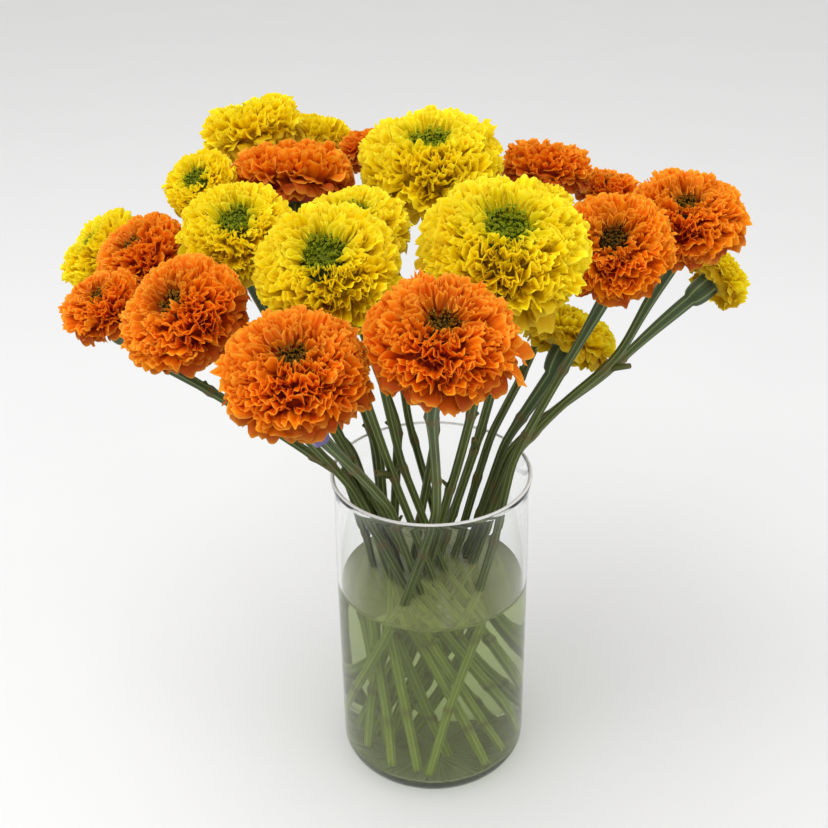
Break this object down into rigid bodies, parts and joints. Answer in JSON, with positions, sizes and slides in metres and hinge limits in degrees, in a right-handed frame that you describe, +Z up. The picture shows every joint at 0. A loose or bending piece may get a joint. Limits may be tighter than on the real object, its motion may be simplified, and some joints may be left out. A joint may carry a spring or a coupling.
{
  "type": "bouquet of marigolds in a glass vase",
  "caption": "Loose bouquet of double-headed orange and yellow marigolds on long bare stems, standing in a round clear glass vase half full of water.",
  "frame": {"origin": "middle of the vase's foot, on the surface that it stands on", "axes": "+Z up along the vase's axis, -Y towards the viewer of the picture, +X to the viewer's right"},
  "size_m": [0.4415, 0.3586, 0.4257],
  "materials": {
    "glass": "clear polished glass",
    "water": "clear water with a faint green tint",
    "stem": "ribbed green stem, satin",
    "orange_petals": "soft matte petals",
    "yellow_petals": "soft matte petals",
    "sleeve": "thin translucent sleeve"
  },
  "bodies": {
    "root": {"vase": "glass", "water": "water", "stem_orange_front_left": "stem", "head_orange_front_left": "orange_petals", "stem_orange_front_mid": "stem", "head_orange_front_mid": "orange_petals", "stem_orange_left": "stem", "head_orange_left": "orange_petals", "stem_orange_far_left": "stem", "head_orange_far_left": "orange_petals", "stem_orange_left_upper": "stem", "head_orange_left_upper": "orange_petals", "stem_orange_right": "stem", "head_orange_right": "orange_petals", "stem_orange_right_mid": "stem", "head_orange_right_mid": "orange_petals", "stem_orange_top_right": "stem", "head_orange_top_right": "orange_petals", "stem_orange_back_right": "stem", "head_orange_back_right": "orange_petals", "stem_orange_top_left": "stem", "head_orange_top_left": "orange_petals", "stem_orange_back": "stem", "head_orange_back": "orange_petals", "stem_yellow_mid_left": "stem", "head_yellow_mid_left": "yellow_petals", "stem_yellow_inner_left": "stem", "head_yellow_inner_left": "yellow_petals", "stem_yellow_centre": "stem", "head_yellow_centre": "yellow_petals", "stem_yellow_top": "stem", "head_yellow_top": "yellow_petals", "stem_yellow_behind_mid": "stem", "head_yellow_behind_mid": "yellow_petals", "stem_yellow_small_left": "stem", "head_yellow_small_left": "yellow_petals", "stem_yellow_back_top_left": "stem", "head_yellow_back_top_left": "yellow_petals", "stem_yellow_back_left": "stem", "head_yellow_back_left": "yellow_petals", "stem_yellow_low_right": "stem", "head_yellow_low_right": "yellow_petals", "stem_yellow_under_right": "stem", "head_yellow_under_right": "yellow_petals", "stem_yellow_behind_left": "stem", "head_yellow_behind_left": "yellow_petals", "stem_yellow_behind_right": "stem", "head_yellow_behind_right": "yellow_petals", "sleeve_front_left": "sleeve", "sleeve_mid_left": "sleeve"}
  },
  "joints": []
}
